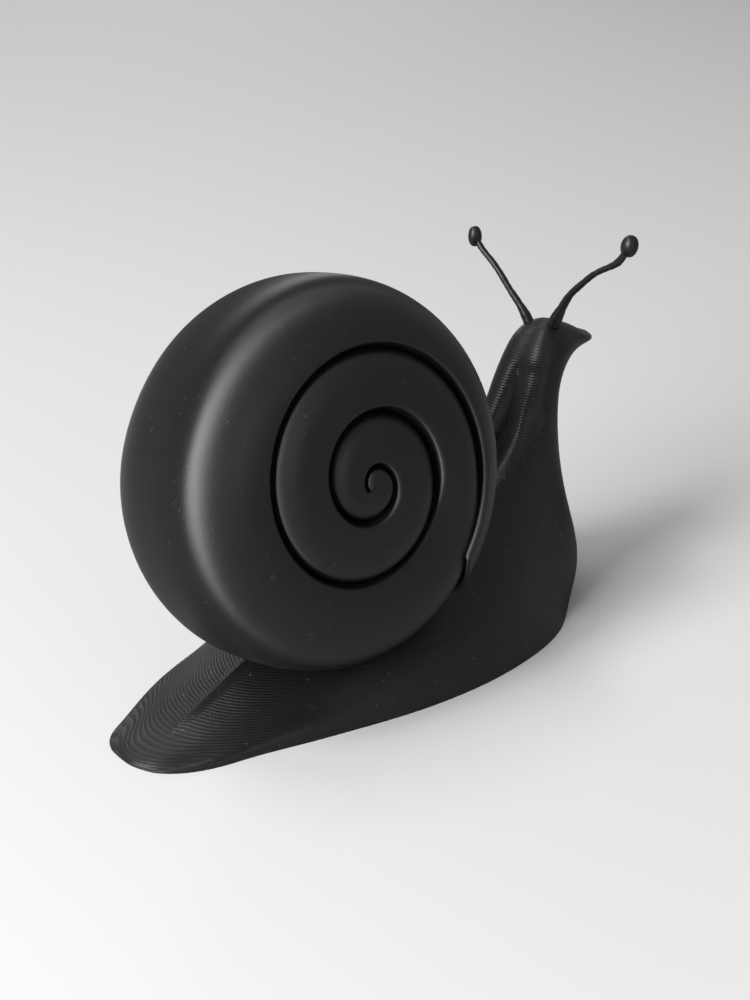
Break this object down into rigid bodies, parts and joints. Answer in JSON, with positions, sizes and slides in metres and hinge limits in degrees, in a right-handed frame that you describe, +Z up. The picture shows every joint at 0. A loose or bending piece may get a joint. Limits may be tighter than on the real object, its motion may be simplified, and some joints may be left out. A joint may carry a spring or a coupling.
{
  "type": "snail figurine",
  "caption": "Life-size garden snail figurine in black plastic: flat sole, raised head on a bent neck, coiled shell seated on the back, thin eye stalks with round tips.",
  "frame": {"origin": "middle of the sole, on the plane that halves the foot", "axes": "+X forward along the snail, +Y to its left, +Z up from the surface it stands on"},
  "size_m": [0.0628, 0.0267, 0.0392],
  "materials": {
    "body_plastic": "satin, with fine horizontal layer lines",
    "shell_plastic": "smooth satin",
    "strand_plastic": "glossy extruded strand"
  },
  "bodies": {
    "root": {"body": "body_plastic", "shell": "shell_plastic", "shell_pin_front": "strand_plastic", "shell_pin_rear": "strand_plastic", "eye_stalk_left": "strand_plastic", "eye_stalk_right": "strand_plastic", "eye_knob_left": "strand_plastic", "eye_knob_right": "strand_plastic"}
  },
  "joints": []
}
